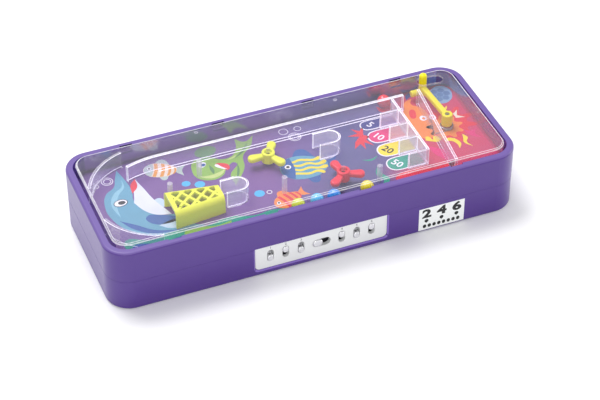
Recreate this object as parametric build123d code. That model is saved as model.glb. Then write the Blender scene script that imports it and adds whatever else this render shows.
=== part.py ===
"""Pencil case with a hand-held ball game in its lid and a six-slider code lock on its front.

Millimetres. +X runs along the case, +Y towards the hinge, +Z up. The origin is the centre of the
case's underside. Each function builds one physical piece, and the list at the end exports them.
"""
from build123d import *
from math import asin, cos, degrees, radians, sin
import os

# ---------------------------------------------------------------- case
case_length = 230.0
case_depth = 87.5
rim_height = 37.5
corner_radius = 13.5
shell_wall = 2.0
base_floor = 2.0
seam_height = 18.3
seam_gap = 0.3
rim_width = 3.9
rim_round = 1.5
foot_round = 1.0
window_bevel = 0.7

# ---------------------------------------------------------------- hinge
hinge_x = 70.0
knuckle_radius = 1.9
knuckle_length = 8.0
knuckle_gap = 0.3
knuckle_clear = 0.25
hinge_pin_radius = 0.8
running_gap = 0.05

# ---------------------------------------------------------------- game well, card and cover
deck_thickness = 1.8
card_thickness = 0.3
well_depth_below_rim = 10.5
card_gap = 0.3
cover_top = 39.2
cover_wall = 1.2
cover_gap = 1.35
cover_round = 1.4
cover_flange_height = 1.2
cover_flange_gap = 0.2
rib_gap = 0.2
clip_x = (-79.0, -26.7, 25.6, 77.9)
clip_slot_length = 7.0
clip_slot_depth = 1.0
clip_slot_height = 4.2
clip_tab_gap = 0.3
clip_tab_height = 1.2

# ---------------------------------------------------------------- clear walls on the card
divider_width = 2.0
divider_y = 26.0
divider_left = (-84.2, 22.8)
divider_bend_x = -66.0
divider_right_x = 76.8
guide_width = 1.6
guide_radius = 34.4
guide_centre = (-75.0, 2.2)
guide_angles = (104.0, 161.5)
lever_wall_ends = ((86.4, 27.6), (79.8, -36.2))
lever_wall_width = 1.5
pocket_wall_x = 69.5
pocket_front_x = 58.1
pocket_wall_width = 1.3
pocket_divider_y = (15.1, 2.6, -10.0, -22.6)
cup_mouths = {"catch_cup_left": (-42.6, -11.6), "catch_cup_right": (17.2, 7.1)}
cup_half_width = 5.2
cup_straight = 8.0
cup_wall = 1.2
pin_radius = 1.45
pin_places = ((-47.2, 13.3), (-67.6, 1.2), (-10.2, -16.2), (40.0, -26.1))

# ---------------------------------------------------------------- net bridge
net_left = (-72.5, -2.8, -23.2)
net_right = (-44.6, -7.0, -20.2)
net_wall = 1.3
net_roof = 1.5
net_shoulder = 3.6
net_border = 2.4
net_side_border = 1.5
net_strand = 1.4
net_families = ((40.0, 5.0), (-60.0, 5.3))
net_peg_radius = 1.3
net_peg_depth = 0.8
net_peg_place = (3.4, 0.6)

# ---------------------------------------------------------------- spinners
spinner_places = {"green": (-9.5, 9.4, 58.0), "red": (21.8, -19.7, 98.0)}
post_radius = 1.1
post_collar_radius = 2.2
post_collar_height = 2.0
spinner_lift = 0.3
hub_radius = 3.6
hub_height = 6.0
hub_cup_radius = 2.2
hub_cup_depth = 1.6
blade_reach = 11.4
blade_root_radius = 1.7
blade_tip_radius = 2.5
blade_root_at = 3.0
blade_thickness = 3.0
blade_lift = 1.8
blade_round = 1.1

# ---------------------------------------------------------------- shooter lever
lever_hub = (92.7, 2.7)
lever_reach = 28.8
lever_rest_angle = 93.2
lever_travel = 18.5
lever_post_radius = 1.3
lever_collar_radius = 2.6
lever_collar_height = 2.0
lever_hub_radius = 3.0
lever_hub_height = 6.9
lever_post_sink = 0.4
arm_width = 3.3
arm_height = 3.0
arm_below_hub_top = 0.4
knob_radius = 2.2
knob_top = 44.2
knob_slot_gap = 1.2
knob_stop_gap = 0.3
hammer_radius = 1.9
hammer_face_x = 84.0
hammer_rise = 0.9
lever_hub_round = 0.5
arm_round = 0.8
hammer_round = 0.6
knob_round = knob_radius * 0.85
spring_wire = 0.5
spring_radius = 3.5
spring_pitch = 0.55
spring_full_turns = 2
spring_arm_clear = 0.1

# ---------------------------------------------------------------- balls
ball_radius = 3.7
ball_gap = 0.1
front_ball_x = {"lime": -8.9, "sky": 1.6, "blue": 11.2, "yellow": 30.0}
front_ball_y = -32.6
lane_ball = (68.0, 32.4)

# ---------------------------------------------------------------- code lock
plate_width = 74.4
plate_low = 3.4
plate_recess = 0.75
plate_corner = 2.4
plate_clear = 0.2
plate_lip = 3.4
plate_lip_thickness = 0.95
code_slider_x = (-28.7, -20.2, -11.6, 11.4, 19.9, 28.4)
code_slider_up = (False, True, False, True, False, True)
slot_centre_z = 11.2
slider_travel = 3.0
slider_knob_width = 3.3
slider_knob_height = 4.2
slider_knob_stand = 0.5
slider_knob_round = 0.6
slider_clear = 0.2
slider_flange_width = 5.4
slider_flange_height = 5.6
slider_flange_thickness = 1.2
slider_pin = 2.0
slider_pin_length = 2.2
lock_layer_gap = 0.15
latch_travel = 4.2
latch_knob_width = 5.6
latch_knob_height = 4.7
latch_knob_z = 11.0
latch_knob_round = slider_knob_round * 1.4
latch_stem_step = 0.3
latch_bar_ends = (-36.2, 32.5)
latch_bar_thickness = 1.6
latch_bar_low = 6.6
latch_bar_high = 16.2
gate_clear = 0.2
hook_x = (-30.0, 19.0)
hook_neck = 3.0
hook_top = 22.8
hook_nose_height = 1.9
hook_nose_length = 4.4
hook_clear = 0.3
housing_overhang = 3.8
housing_wall = 1.2
housing_back_y = -35.5
housing_roof_low = 16.4
housing_floor_gap = 0.1
boss_from_housing = 4.6
boss_z = 9.5
boss_radius = 2.6
boss_root = 0.5
ear_thickness = 1.4
screw_shank_radius = 0.9
screw_head_radius = 1.8
screw_head_height = 0.9
screw_slot_depth = 0.4
screw_slot_half = 0.2
screw_tip_gap = 0.5
screw_hole_gap = 0.1
lock_screw_length = 5.0
leaf_thickness = 0.3
leaf_width = 1.0
leaf_bow = 0.8
leaf_side_gap = 0.1
leaf_end_gaps = (0.2, 0.4)
striker_shelf = 1.6
striker_length = 5.8
striker_height = 5.8
striker_plate = 1.3
striker_reach = 3.5
striker_screw_bite = 1.2

# ---------------------------------------------------------------- code label
label_width = 26.6
label_height = 14.6
label_centre_x = 68.9
label_low = 0.95 + foot_round * 0.2
label_thickness = 0.15

# ---------------------------------------------------------------- derived levels and faces
front_y = -case_depth / 2
back_y = case_depth / 2
wall_inner_y = front_y + shell_wall
base_top = seam_height - seam_gap / 2
lid_low = seam_height + seam_gap / 2
deck_top = rim_height - well_depth_below_rim
deck_low = deck_top - deck_thickness
card_top = deck_top + card_thickness
cover_under = cover_top - cover_wall
rib_top = cover_under - rib_gap
well_length = case_length - 2 * rim_width
well_depth = case_depth - 2 * rim_width
well_radius = corner_radius - rim_width
cover_length = well_length - 2 * cover_gap
cover_depth = well_depth - 2 * cover_gap
cover_radius = well_radius - cover_gap
hinge_y = back_y + knuckle_radius + knuckle_clear
housing_half = plate_width / 2 + housing_overhang
boss_x = housing_half + boss_from_housing
housing_low = base_floor + housing_floor_gap
plate_front_y = front_y + plate_recess
plate_back_y = wall_inner_y + plate_lip_thickness
knob_front_y = plate_front_y - slider_knob_stand
slider_flange_front = plate_back_y + lock_layer_gap
slider_flange_back = slider_flange_front + slider_flange_thickness
latch_bar_front = slider_flange_back + lock_layer_gap
latch_bar_back = latch_bar_front + latch_bar_thickness
hook_nose_low = hook_top - hook_nose_height
striker_low = hook_nose_low - hook_clear - striker_shelf


def rounded_block(length, depth, radius, low, high):
    """A block with rounded upright corners, centred on the Z axis."""
    return Pos(0, 0, low) * extrude(RectangleRounded(length, depth, radius), high - low)


def block(x_range, y_range, z_range):
    """A plain box given by its three ranges."""
    size = [high - low for low, high in (x_range, y_range, z_range)]
    centre = [(low + high) / 2 for low, high in (x_range, y_range, z_range)]
    return Pos(*centre) * Box(*size)


def upright(face, low, high):
    """A plan outline raised from low to high."""
    return Pos(0, 0, low) * extrude(face, high - low)


def forward_prism(face, centre_x, centre_z, y_front, y_back):
    """A front-view outline (its Y drawn as Z), run from y_front back to y_back."""
    return Pos(centre_x, y_back, centre_z) * Rot(90, 0, 0) * extrude(face, y_back - y_front)


def rod_x(radius, x_range, y, z):
    """A round rod along X."""
    low, high = x_range
    return Pos((low + high) / 2, y, z) * Rot(0, 90, 0) * Cylinder(radius, high - low)


def rod_y(radius, x, y_range, z):
    """A round rod along Y."""
    low, high = y_range
    return Pos(x, (low + high) / 2, z) * Rot(90, 0, 0) * Cylinder(radius, high - low)


def obround(width, height, gap=0.0):
    """An upright or level slot outline, as wide and high as asked, plus a gap all round."""
    wide, tall = width + 2 * gap, height + 2 * gap
    if wide > tall:
        return SlotOverall(wide, tall)
    return Rot(0, 0, 90) * SlotOverall(tall, wide)


# ================================================================ case shells and hinge
def knuckle_ranges():
    """The X ranges of the base's and the lid's hinge knuckles."""
    half = knuckle_length / 2
    outer = half + knuckle_gap
    base, lid = [], []
    for centre in (-hinge_x, hinge_x):
        lid.append((centre - half, centre + half))
        base.append((centre - outer - knuckle_length, centre - outer))
        base.append((centre + outer, centre + outer + knuckle_length))
    return base, lid


def knuckle(x_range, side):
    """One bored knuckle with the web that joins it to its shell. side is -1 below the seam, 1 above."""
    near, far = seam_height + side * seam_gap / 2, seam_height + side * knuckle_radius
    web_z = (min(near, far), max(near, far))
    barrel = rod_x(knuckle_radius, x_range, hinge_y, seam_height)
    web = block(x_range, (back_y - shell_wall / 2, hinge_y), web_z)
    bore = rod_x(hinge_pin_radius + running_gap, x_range, hinge_y, seam_height)
    return barrel + web - bore


def base_shell():
    """The lower tub: pencil space, lock window, screw bosses and its hinge knuckles."""
    tub = rounded_block(case_length, case_depth, corner_radius, 0, base_top)
    tub = fillet(tub.edges().group_by(Axis.Z)[0], foot_round)
    inner_length, inner_depth = case_length - 2 * shell_wall, case_depth - 2 * shell_wall
    tub -= rounded_block(inner_length, inner_depth, corner_radius - shell_wall, base_floor, base_top + 1)
    for side in (-1, 1):
        tub += rod_y(boss_radius, side * boss_x, (wall_inner_y - boss_root, ear_front_y), boss_z)
        tub -= rod_y(
            screw_shank_radius + screw_hole_gap,
            side * boss_x,
            (ear_front_y - lock_screw_length, ear_front_y + 1),
            boss_z,
        )
    tub -= plate_outline_prism(plate_clear, front_y - 1, wall_inner_y + 1)
    bevel = window_bevel
    outer = plate_face(plate_clear + bevel)
    inner = plate_face(plate_clear)
    tub -= loft([
        Plane.XZ.offset(-front_y) * outer,
        Plane.XZ.offset(-front_y - bevel) * inner,
    ])
    for x_range in knuckle_ranges()[0]:
        tub += knuckle(x_range, -1)
    return tub


def lid_shell():
    """The upper shell: rim, game well and deck, hollow below, with its hinge knuckles."""
    lid = rounded_block(case_length, case_depth, corner_radius, lid_low, rim_height)
    lid = fillet(lid.edges().group_by(Axis.Z)[-1], rim_round)
    inner_length, inner_depth = case_length - 2 * shell_wall, case_depth - 2 * shell_wall
    lid -= rounded_block(inner_length, inner_depth, corner_radius - shell_wall, lid_low - 1, deck_low)
    lid -= rounded_block(well_length, well_depth, well_radius, deck_top, rim_height + 1)
    for x in clip_x:
        for side in (-1, 1):
            face = side * well_depth / 2
            lid -= block(
                (x - clip_slot_length / 2, x + clip_slot_length / 2),
                sorted((face - side, face + side * clip_slot_depth)),
                (rim_height - clip_slot_height, rim_height + 1),
            )
    for x in hook_x:
        lid -= rod_y(
            screw_shank_radius + screw_hole_gap,
            striker_centre_x(x),
            (wall_inner_y - striker_screw_bite - screw_hole_gap, wall_inner_y + 1),
            striker_screw_z,
        )
    for x_range in knuckle_ranges()[1]:
        lid += knuckle(x_range, 1)
    return lid


def hinge_pin(side):
    """One steel hinge pin, as long as its three knuckles."""
    half = knuckle_length * 1.5 + knuckle_gap
    return rod_x(hinge_pin_radius, (side * hinge_x - half, side * hinge_x + half), hinge_y, seam_height)


# ================================================================ card and cover
def printed_card():
    """The printed card that lies on the deck under the game."""
    return rounded_block(
        well_length - 2 * card_gap, well_depth - 2 * card_gap, well_radius - card_gap, deck_top, card_top
    )


def knob_slot(low, high):
    """The curved slot that the lever's knob travels in."""
    free_turn = degrees((knob_slot_gap - knob_stop_gap) / lever_reach)
    arc = CenterArc(lever_hub, lever_reach, lever_rest_angle, -(lever_travel - free_turn))
    return upright(SlotArc(arc, 2 * (knob_radius + knob_slot_gap)), low, high)


def clear_cover():
    """The clear lid of the game: a shallow box with a foot flange, snap tabs and the knob slot."""
    cover = rounded_block(cover_length, cover_depth, cover_radius, card_top, cover_top)
    cover = fillet(cover.edges().group_by(Axis.Z)[-1], cover_round)
    spread = 2 * (cover_gap - cover_flange_gap)
    cover += rounded_block(
        cover_length + spread,
        cover_depth + spread,
        cover_radius + spread / 2,
        card_top,
        card_top + cover_flange_height,
    )
    cover -= rounded_block(
        cover_length - 2 * cover_wall,
        cover_depth - 2 * cover_wall,
        cover_radius - cover_wall,
        card_top - 1,
        cover_under,
    )
    tab_low = rim_height - clip_slot_height + clip_tab_gap
    for x in clip_x:
        for side in (-1, 1):
            start = side * (cover_depth / 2 - cover_wall / 2)
            end = side * (well_depth / 2 + clip_slot_depth - clip_tab_gap)
            half = clip_slot_length / 2 - clip_tab_gap
            cover += block((x - half, x + half), sorted((start, end)), (tab_low, tab_low + clip_tab_height))
    return cover - knob_slot(cover_under - 1, cover_top + 1)


# ================================================================ clear pieces on the card
def lane_divider():
    """The wall between the launch lane and the field, bent in at its far end."""
    straight = Line((divider_right_x, divider_y), (divider_bend_x, divider_y))
    bend = TangentArc((divider_bend_x, divider_y), divider_left, tangent=(-1, 0))
    return upright(trace([straight, bend], divider_width), card_top, rib_top)


def corner_guide(side):
    """A curved wall that turns the ball round a corner of the far end."""
    x, y = guide_centre
    start, end = guide_angles
    arc = CenterArc((x, side * y), guide_radius, side * start, side * (end - start))
    return upright(trace(arc, guide_width), card_top, rib_top)


def lever_wall():
    """The slanted wall that shields the lever's chamber from the balls."""
    return upright(trace(Line(*lever_wall_ends), lever_wall_width), card_top, rib_top)


def lever_wall_x(y):
    """Where the middle of the lever wall crosses a given Y."""
    (back_x, wall_back_y), (front_x, wall_front_y) = lever_wall_ends
    return front_x + (back_x - front_x) * (y - wall_front_y) / (wall_back_y - wall_front_y)


def scoring_pockets():
    """A comb of four pockets: one long wall with four short dividers."""
    half = pocket_wall_width / 2
    front = pocket_divider_y[-1] - half
    back = divider_y - divider_width / 2 - rib_gap
    comb = block((pocket_wall_x - half, pocket_wall_x + half), (front, back), (card_top, rib_top))
    for y in pocket_divider_y:
        comb += block((pocket_front_x, pocket_wall_x), (y - half, y + half), (card_top, rib_top))
    return comb


def catch_cup(mouth):
    """A U-shaped wall, open towards the far end, that catches a ball."""
    x, y = mouth
    turn_x = x + cup_straight
    sides = [
        Line((x, y + cup_half_width), (turn_x, y + cup_half_width)),
        CenterArc((turn_x, y), cup_half_width, 90, -180),
        Line((turn_x, y - cup_half_width), (x, y - cup_half_width)),
    ]
    return upright(trace(sides, cup_wall), card_top, rib_top)


def deflector_pins():
    """The four clear pins that the balls bounce off."""
    return Compound([
        upright(Pos(x, y) * Circle(pin_radius), card_top, rib_top) for x, y in pin_places
    ])


# ================================================================ net bridge
def net_outline(inset):
    """The bridge's tapered plan, with its long sides moved in by inset."""
    left_x, left_back, left_front = net_left
    right_x, right_back, right_front = net_right
    return Polygon(
        (left_x, left_front + inset),
        (right_x, right_front + inset),
        (right_x, right_back - inset),
        (left_x, left_back - inset),
        align=None,
    )


def net_openings():
    """The diamond holes in the roof: the roof's middle without two sets of crossing strands."""
    middle_x = (net_left[0] + net_right[0]) / 2
    middle_y = (net_left[1] + net_left[2]) / 2
    span = net_right[0] - net_left[0]
    window = net_outline(net_wall + net_side_border)
    window &= Pos(middle_x, middle_y) * Rectangle(span - 2 * net_border, 4 * span)
    for slope, pitch in net_families:
        along = Pos(middle_x, middle_y) * Rot(0, 0, slope)
        for step in range(-int(span / pitch), int(span / pitch) + 1):
            window -= along * Pos(0, (step + 0.5) * pitch) * Rectangle(4 * span, net_strand)
    return window


def net_bridge():
    """The tapered tunnel that looks like a net: two legs, rounded shoulders and an open roof."""
    bridge = upright(net_outline(0), card_top, rib_top)
    long_tops = bridge.edges().group_by(Axis.Z)[-1].sort_by(Edge.length)[-2:]
    bridge = fillet(long_tops, net_shoulder)
    tunnel = upright(net_outline(net_wall), card_top - 1, rib_top - net_roof)
    ends = tunnel.edges().group_by(Axis.Z)[-1].sort_by(Edge.length)[-2:]
    bridge -= fillet(ends, net_shoulder - net_wall)
    peg_at = Pos(net_left[0] + net_peg_place[0], net_left[2] + net_shoulder + net_peg_place[1])
    bridge -= upright(peg_at * Circle(net_peg_radius), rib_top - net_peg_depth, rib_top + 1)
    bridge -= upright(net_openings(), rib_top - net_shoulder, rib_top + 1)
    return bridge


# ================================================================ spinners
def spinner_post(place):
    """A clear pivot post with a collar that carries a spinner's hub."""
    post = upright(Pos(place[0], place[1]) * Circle(post_radius), card_top, rib_top)
    collar = Pos(place[0], place[1]) * Circle(post_collar_radius)
    return post + upright(collar, card_top, card_top + post_collar_height)


def spinner(place):
    """Three rounded paddles on a bored hub with a shallow cup in its top."""
    x, y, first_angle = place
    low = card_top + post_collar_height + spinner_lift
    high = low + hub_height
    at_post = Pos(x, y)
    wheel = upright(at_post * Circle(hub_radius), low, high)
    wheel = fillet(wheel.edges().group_by(Axis.Z)[-1], blade_round / 2)
    outline = make_hull([
        *(Pos(blade_root_at, 0) * Circle(blade_root_radius)).edges(),
        *(Pos(blade_reach - blade_tip_radius, 0) * Circle(blade_tip_radius)).edges(),
    ])
    paddle = upright(outline, low + blade_lift, low + blade_lift + blade_thickness)
    flat_rims = paddle.edges().group_by(Axis.Z)[0] + paddle.edges().group_by(Axis.Z)[-1]
    paddle = fillet(flat_rims, blade_round)
    for turn in range(3):
        wheel += at_post * Rot(0, 0, first_angle + 120 * turn) * paddle
    wheel -= upright(at_post * Circle(hub_cup_radius), high - hub_cup_depth, high + 1)
    return wheel - upright(at_post * Circle(post_radius + running_gap), low - 1, high + 1)


# ================================================================ shooter lever
def knob_centre():
    """Where the knob stands at rest."""
    angle = radians(lever_rest_angle)
    return lever_hub[0] + lever_reach * cos(angle), lever_hub[1] + lever_reach * sin(angle)


def lever_post():
    """The pivot post of the lever, with the collar that it turns on."""
    at_hub = Pos(*lever_hub)
    post = upright(at_hub * Circle(lever_post_radius), card_top, lever_hub_high - lever_post_sink)
    return post + upright(at_hub * Circle(lever_collar_radius), card_top, card_top + lever_collar_height)


def shooter_lever():
    """The hand lever: bored hub, flat arm, upright knob and the hammer that hits the ball."""
    at_hub, at_knob = Pos(*lever_hub), Pos(*knob_centre())
    hub = upright(at_hub * Circle(lever_hub_radius), lever_hub_low, lever_hub_high)
    hub = fillet(hub.edges().group_by(Axis.Z)[-1], lever_hub_round)
    arm_high = lever_hub_high - arm_below_hub_top
    arm_line = Line(lever_hub, knob_centre())
    arm = upright(trace(arm_line, arm_width), arm_high - arm_height, arm_high)
    arm = fillet(arm.edges().group_by(Axis.Z)[0] + arm.edges().group_by(Axis.Z)[-1], arm_round)
    knob = upright(at_knob * Circle(knob_radius), hammer_z - hammer_radius, knob_top)
    knob = fillet(knob.edges().group_by(Axis.Z)[-1], knob_round)
    hammer = rod_x(hammer_radius, (hammer_face_x, knob_centre()[0]), knob_centre()[1], hammer_z)
    hammer = fillet(hammer.edges().group_by(Axis.X)[0], hammer_round)
    lever = hub + arm + knob + hammer
    bore = at_hub * Circle(lever_post_radius + running_gap)
    return lever - upright(bore, lever_hub_low - 1, lever_hub_high + 1)


def lever_spring():
    """The return spring: a coil round the collar, a leg to the lever wall and a leg beside the arm."""
    x, y = lever_hub
    low = card_top + spring_wire / 2 + spring_arm_clear
    arm_side = arm_width / 2 + spring_wire / 2 + spring_arm_clear
    end_angle = lever_rest_angle - lever_travel - degrees(asin(arm_side / spring_radius))
    turns = spring_full_turns + (end_angle + 90) / 360
    helix = Pos(x, y, low) * Rot(0, 0, -90) * Helix(spring_pitch, turns * spring_pitch, spring_radius)
    wire_end = Plane(origin=helix @ 0, z_dir=helix % 0) * Circle(spring_wire / 2)
    coil = sweep(wire_end, path=helix, is_frenet=True)
    bend_low, bend_high = helix @ 0, helix @ 1
    leg_y = y - spring_radius
    wall_face_x = lever_wall_x(leg_y) + lever_wall_width / 2 + spring_arm_clear
    leg = rod_x(spring_wire / 2, (wall_face_x, x), leg_y, low)
    riser_top = lever_hub_high - arm_below_hub_top
    riser = upright(Pos(bend_high.X, bend_high.Y) * Circle(spring_wire / 2), bend_high.Z, riser_top)
    bends = [Pos(bend) * Sphere(spring_wire / 2) for bend in (bend_low, bend_high)]
    return coil + leg + riser + bends[0] + bends[1]


# ================================================================ balls
def ball(x, y):
    """One ball on the card."""
    return Pos(x, y, card_top + ball_radius + ball_gap) * Sphere(ball_radius)


# ================================================================ code lock
def plate_face(grow):
    """The lock plate's front outline: square at the seam, round at its lower corners."""
    half = plate_width / 2 + grow
    low, high = plate_low - grow, base_top + max(grow, 0) + (1 if grow > 0 else 0)
    outline = Polygon((-half, low), (half, low), (half, high), (-half, high), align=None)
    return fillet(outline.vertices().group_by(Axis.Y)[0], plate_corner)


def plate_outline_prism(grow, y_front, y_back):
    """The plate's outline run through a range of Y."""
    return forward_prism(plate_face(grow), 0, 0, y_front, y_back)


def lock_plate():
    """The plate that fills the window: six upright slots, one level slot and a hidden lip."""
    plate = plate_outline_prism(0, plate_front_y, wall_inner_y)
    lip_half = plate_width / 2 + plate_lip
    plate += block(
        (-lip_half, lip_half), (wall_inner_y, plate_back_y), (housing_low, housing_roof_high)
    )
    slot = obround(slider_knob_width, slider_knob_height + slider_travel, slider_clear)
    for x in code_slider_x:
        plate -= forward_prism(slot, x, slot_centre_z, plate_front_y - 1, plate_back_y + 1)
    level = obround(latch_knob_width + latch_travel, latch_knob_height, slider_clear)
    return plate - forward_prism(level, 0, latch_knob_z, plate_front_y - 1, plate_back_y + 1)


def slider_z(is_up):
    """The height of a code slider's centre at rest."""
    return slot_centre_z + (slider_travel / 2 if is_up else -slider_travel / 2)


def code_slider(x, is_up):
    """One code slider: a thumb knob, the flange behind the plate and the pin that reads the gate."""
    z = slider_z(is_up)
    outline = obround(slider_knob_width, slider_knob_height)
    knob = forward_prism(outline, x, z, knob_front_y, slider_flange_front)
    knob = fillet(knob.edges().group_by(Axis.Y)[0], slider_knob_round)
    half = slider_flange_width / 2
    flange = block(
        (x - half, x + half),
        (slider_flange_front, slider_flange_back),
        (z - slider_flange_height / 2, z + slider_flange_height / 2),
    )
    pin = block(
        (x - slider_pin / 2, x + slider_pin / 2),
        (slider_flange_back, slider_flange_back + slider_pin_length),
        (z - slider_pin / 2, z + slider_pin / 2),
    )
    return knob + flange + pin


def latch_gate(x, is_up):
    """The U-shaped window in the latch bar that lets it pass only when the slider's code is set."""
    reach = slider_pin / 2 + gate_clear
    z_code, z_other = slider_z(is_up), slider_z(not is_up)
    y_range = (latch_bar_front - 1, latch_bar_back + 1)
    gate = block((x - latch_travel - reach, x + reach), y_range, (z_code - reach, z_code + reach))
    branch_z = (min(z_code, z_other) - reach, max(z_code, z_other) + reach)
    for branch_x in (x, x - latch_travel):
        gate += block((branch_x - reach, branch_x + reach), y_range, branch_z)
    return gate


def latch_bar():
    """The sliding bar behind the code sliders, with its gates and two upright hooks."""
    y_range = (latch_bar_front, latch_bar_back)
    bar = block(latch_bar_ends, y_range, (latch_bar_low, latch_bar_high))
    for x, is_up in zip(code_slider_x, code_slider_up):
        bar -= latch_gate(x, is_up)
    for x in hook_x:
        half = hook_neck / 2
        bar += block((x - half, x + half), y_range, (latch_bar_high - 1, hook_top))
        bar += block((x + half - 1, x + half + hook_nose_length), y_range, (hook_nose_low, hook_top))
    return bar


def latch_knob():
    """The wide thumb knob, seated on the bar, that shoots both hooks."""
    x = -latch_travel / 2
    outline = obround(latch_knob_width, latch_knob_height)
    knob = forward_prism(outline, x, latch_knob_z, knob_front_y, slider_flange_front)
    knob = fillet(knob.edges().group_by(Axis.Y)[0], latch_knob_round)
    stem_half = latch_knob_height / 2 - latch_stem_step
    stem = block(
        (x - stem_half, x + stem_half),
        (slider_flange_front, latch_bar_front),
        (latch_knob_z - stem_half, latch_knob_z + stem_half),
    )
    return knob + stem


def lock_housing():
    """The box behind the plate that guides the sliders and the bar, held by two screws."""
    half = housing_half
    box = block((-half, half), (plate_back_y, housing_back_y), (housing_low, housing_roof_high))
    inner_low = housing_low + housing_wall
    box -= block(
        (-half + housing_wall, half - housing_wall),
        (plate_back_y - 1, housing_back_y - housing_wall),
        (inner_low, housing_roof_low),
    )
    box += block(
        (-half + housing_wall / 2, half - housing_wall / 2),
        (latch_bar_front, housing_back_y - housing_wall / 2),
        (inner_low - 0.5, latch_bar_low - gate_clear),
    )
    for x in hook_x:
        box -= block(
            (x - hook_neck / 2 - hook_clear, x + hook_neck / 2 + latch_travel + hook_clear),
            (latch_bar_front - hook_clear, latch_bar_back + hook_clear),
            (housing_roof_low - 1, housing_roof_high + 1),
        )
    for side in (-1, 1):
        ear_x = sorted((side * (half - housing_wall / 2), side * (boss_x + boss_radius)))
        ear_y = (ear_front_y, ear_front_y + ear_thickness)
        box += block(ear_x, ear_y, (boss_z - boss_radius, boss_z + boss_radius))
        hole_y = (ear_y[0] - 1, ear_y[1] + 1)
        box -= rod_y(screw_shank_radius + screw_hole_gap, side * boss_x, hole_y, boss_z)
    return box


def pan_screw(x, z, seat_y, length):
    """A pan-head screw pointing to the front, its head bearing on seat_y."""
    head = rod_y(screw_head_radius, x, (seat_y, seat_y + screw_head_height), z)
    head = fillet(head.edges().group_by(Axis.Y)[-1], screw_head_height / 2)
    shank = rod_y(screw_shank_radius, x, (seat_y - length, seat_y), z)
    slot = block(
        (x - screw_head_radius, x + screw_head_radius),
        (seat_y + screw_head_height - screw_slot_depth, seat_y + screw_head_height + 1),
        (z - screw_slot_half, z + screw_slot_half),
    )
    return head + shank - slot


def lock_screws():
    """The two screws that hold the lock housing to the tub's bosses."""
    seat = ear_front_y + ear_thickness
    length = ear_thickness + lock_screw_length - screw_tip_gap
    return Compound([pan_screw(side * boss_x, boss_z, seat, length) for side in (-1, 1)])


def detent_springs():
    """Six bowed leaf springs, one beside each slider's flange, that hold it up or down."""
    floor_z = housing_low + housing_wall
    leaves = []
    for x in code_slider_x:
        near = x + slider_flange_width / 2 + leaf_side_gap + leaf_thickness / 2
        foot = (near + leaf_bow, floor_z + leaf_end_gaps[0])
        head = (near + leaf_bow, housing_roof_low - leaf_end_gaps[1])
        face = trace(Polyline(foot, (near, slot_centre_z), head), leaf_thickness)
        leaves.append(forward_prism(face, 0, 0, slider_flange_front, slider_flange_front + leaf_width))
    return Compound(leaves)


def striker_centre_x(hook):
    """The X of a striker's middle, just past its hook's nose at rest."""
    return hook + hook_neck / 2 + hook_nose_length + hook_clear + striker_length / 2


def lid_strikers():
    """Two brackets inside the lid's front wall; a hook slides over each one's shelf."""
    brackets = []
    for x in hook_x:
        centre = striker_centre_x(x)
        x_range = (centre - striker_length / 2, centre + striker_length / 2)
        plate_y = (wall_inner_y, wall_inner_y + striker_plate)
        shelf_y = (wall_inner_y, wall_inner_y + striker_plate + striker_reach)
        plate = block(x_range, plate_y, (striker_low, striker_low + striker_height))
        plate += block(x_range, shelf_y, (striker_low, striker_low + striker_shelf))
        hole_y = (wall_inner_y - 1, wall_inner_y + striker_plate + 1)
        brackets.append(plate - rod_y(screw_shank_radius + screw_hole_gap, centre, hole_y, striker_screw_z))
    return Compound(brackets)


def striker_screws():
    """The two screws that hold the strikers to the lid."""
    seat = wall_inner_y + striker_plate
    return Compound([
        pan_screw(striker_centre_x(x), striker_screw_z, seat, striker_plate + striker_screw_bite)
        for x in hook_x
    ])


def code_label():
    """The stuck-on label that shows the code."""
    half = label_width / 2
    return block(
        (label_centre_x - half, label_centre_x + half),
        (front_y - label_thickness, front_y),
        (label_low, label_low + label_height),
    )


# ---------------------------------------------------------------- values that several pieces share
housing_roof_high = housing_roof_low + housing_wall
ear_front_y = housing_back_y - housing_wall - ear_thickness
striker_screw_z = striker_low + striker_height - screw_head_radius - screw_hole_gap
lever_hub_low = card_top + lever_collar_height + spinner_lift
lever_hub_high = lever_hub_low + lever_hub_height
hammer_z = card_top + ball_radius + ball_gap + hammer_rise


def all_pieces():
    """Every piece by its node name."""
    pieces = {
        "base_shell": base_shell(),
        "lid_shell": lid_shell(),
        "hinge_pin_left": hinge_pin(-1),
        "hinge_pin_right": hinge_pin(1),
        "printed_card": printed_card(),
        "clear_cover": clear_cover(),
        "lane_divider": lane_divider(),
        "corner_guide_rear": corner_guide(1),
        "corner_guide_front": corner_guide(-1),
        "lever_wall": lever_wall(),
        "scoring_pockets": scoring_pockets(),
        "deflector_pins": deflector_pins(),
        "net_bridge": net_bridge(),
        "shooter_lever": shooter_lever(),
        "lever_post": lever_post(),
        "lever_spring": lever_spring(),
        "ball_red": ball(*lane_ball),
        "lock_plate": lock_plate(),
        "lock_housing": lock_housing(),
        "lock_screws": lock_screws(),
        "latch_bar": latch_bar(),
        "latch_knob": latch_knob(),
        "detent_springs": detent_springs(),
        "lid_strikers": lid_strikers(),
        "striker_screws": striker_screws(),
        "code_label": code_label(),
    }
    for name, mouth in cup_mouths.items():
        pieces[name] = catch_cup(mouth)
    for colour, place in spinner_places.items():
        pieces[f"spinner_post_{colour}"] = spinner_post(place)
        pieces[f"spinner_{colour}"] = spinner(place)
    for colour, x in front_ball_x.items():
        pieces[f"ball_{colour}"] = ball(x, front_ball_y)
    for number, (x, is_up) in enumerate(zip(code_slider_x, code_slider_up), start=1):
        pieces[f"code_slider_{number}"] = code_slider(x, is_up)
    return pieces


os.makedirs("parts", exist_ok=True)
for node, shape in all_pieces().items():
    export_step(shape, f"parts/{node}.step")
    print(node, round(shape.volume, 1))
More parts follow.
